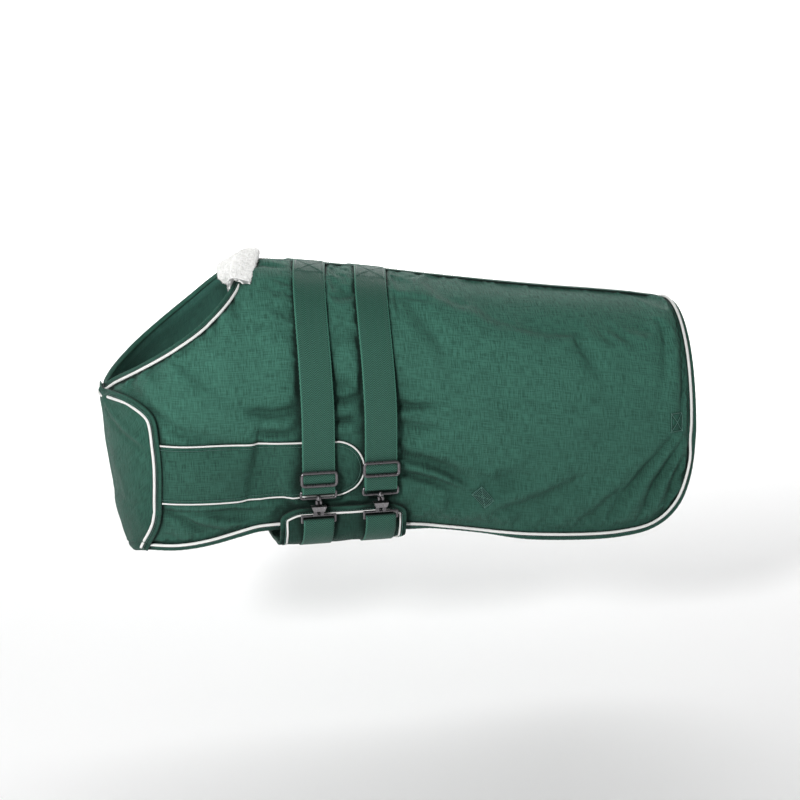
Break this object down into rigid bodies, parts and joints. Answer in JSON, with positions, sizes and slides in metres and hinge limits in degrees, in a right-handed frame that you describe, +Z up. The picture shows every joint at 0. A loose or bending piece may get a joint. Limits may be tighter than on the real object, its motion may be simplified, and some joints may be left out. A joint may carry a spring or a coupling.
{
  "type": "turnout rug",
  "caption": "Padded turnout rug for a foal or very small pony, with chest wrap and tab, surcingles, swivel hooks and a belly flap.",
  "frame": {"origin": "the spine seam at mid length, in the middle of the cloth's thickness, where the rug sits on the animal's back", "axes": "+X towards the tail, +Y towards the off (right) side, +Z up"},
  "size_m": [0.9394, 0.3373, 0.4641],
  "materials": {
    "outer_fabric": "coated oxford weave",
    "lining_fabric": "smooth nylon taffeta",
    "fill_wadding": "bonded polyester wadding",
    "binding_tape": "woven tape",
    "piping": "corded piping",
    "webbing": "herringbone polypropylene webbing",
    "hook_and_loop": "hook and loop tape",
    "fleece": "deep pile fleece",
    "gunmetal_fittings": "black nickel plate"
  },
  "bodies": {
    "rug": {"near_outer_shell": "outer_fabric", "near_fill": "fill_wadding", "near_lining": "lining_fabric", "off_outer_shell": "outer_fabric", "off_fill": "fill_wadding", "off_lining": "lining_fabric", "spine_tape": "outer_fabric", "neck_binding": "binding_tape", "neck_piping": "piping", "near_edge_binding": "binding_tape", "near_edge_piping": "piping", "off_edge_binding": "binding_tape", "off_edge_piping": "piping", "chest_panel_shell": "outer_fabric", "chest_panel_binding": "binding_tape", "chest_panel_piping": "piping", "chest_tab": "outer_fabric", "chest_tab_piping": "piping", "tab_hook_patch": "hook_and_loop", "tab_loop_patch": "hook_and_loop", "wither_fleece": "fleece", "front_surcingle": "webbing", "rear_surcingle": "webbing", "front_hook_loop": "gunmetal_fittings", "rear_hook_loop": "gunmetal_fittings", "flap_anchor_tape": "outer_fabric", "ring_keepers": "webbing"},
    "belly_flap": {"front_hook_eye": "gunmetal_fittings", "rear_hook_eye": "gunmetal_fittings", "belly_flap_shell": "outer_fabric", "belly_flap_fill": "fill_wadding", "belly_flap_lining": "lining_fabric", "belly_flap_binding": "binding_tape", "belly_flap_piping": "piping", "front_belly_webbing": "webbing", "rear_belly_webbing": "webbing"},
    "front_slider": {"front_slider": "gunmetal_fittings", "front_slider_webbing": "webbing"},
    "rear_slider": {"rear_slider": "gunmetal_fittings", "rear_slider_webbing": "webbing"},
    "front_hook_stem": {"front_hook_stem": "gunmetal_fittings"},
    "rear_hook_stem": {"rear_hook_stem": "gunmetal_fittings"},
    "near_stifle_ring": {"near_stifle_ring": "gunmetal_fittings"},
    "near_rear_ring": {"near_rear_ring": "gunmetal_fittings"},
    "off_stifle_ring": {"off_stifle_ring": "gunmetal_fittings"},
    "off_rear_ring": {"off_rear_ring": "gunmetal_fittings"}
  },
  "joints": [
    {"name": "front_slider_slide", "type": "slide", "parent": "rug", "child": "front_slider", "axis": [0, 0, 1], "range_m": [0, 0.07]},
    {"name": "rear_slider_slide", "type": "slide", "parent": "rug", "child": "rear_slider", "axis": [0, 0, 1], "range_m": [0, 0.06]},
    {"name": "front_hook_turn", "type": "hinge", "parent": "rug", "child": "front_hook_stem", "pos_m": [-0.165, -0.168, -0.312], "axis": [0, 0, 1], "range_deg": [0, 90]},
    {"name": "rear_hook_turn", "type": "hinge", "parent": "rug", "child": "rear_hook_stem", "pos_m": [-0.069, -0.168, -0.312], "axis": [0, 0, 1], "range_deg": [0, 90]},
    {"name": "belly_flap_drop", "type": "hinge", "parent": "rug", "child": "belly_flap", "pos_m": [-0.124, 0.152, -0.35], "axis": [1, 0, 0], "range_deg": [0, 80]},
    {"name": "near_stifle_ring_swing", "type": "hinge", "parent": "rug", "child": "near_stifle_ring", "pos_m": [0.104, -0.13644, -0.32064], "axis": [1, 0, 0], "range_deg": [0, 80]},
    {"name": "near_rear_ring_swing", "type": "hinge", "parent": "rug", "child": "near_rear_ring", "pos_m": [0.412, -0.12132, -0.23122], "axis": [1, 0, 0], "range_deg": [0, 80]},
    {"name": "off_stifle_ring_swing", "type": "hinge", "parent": "rug", "child": "off_stifle_ring", "pos_m": [0.104, 0.13644, -0.32064], "axis": [1, 0, 0], "range_deg": [-80, 0]},
    {"name": "off_rear_ring_swing", "type": "hinge", "parent": "rug", "child": "off_rear_ring", "pos_m": [0.412, 0.12132, -0.23122], "axis": [1, 0, 0], "range_deg": [-80, 0]}
  ]
}
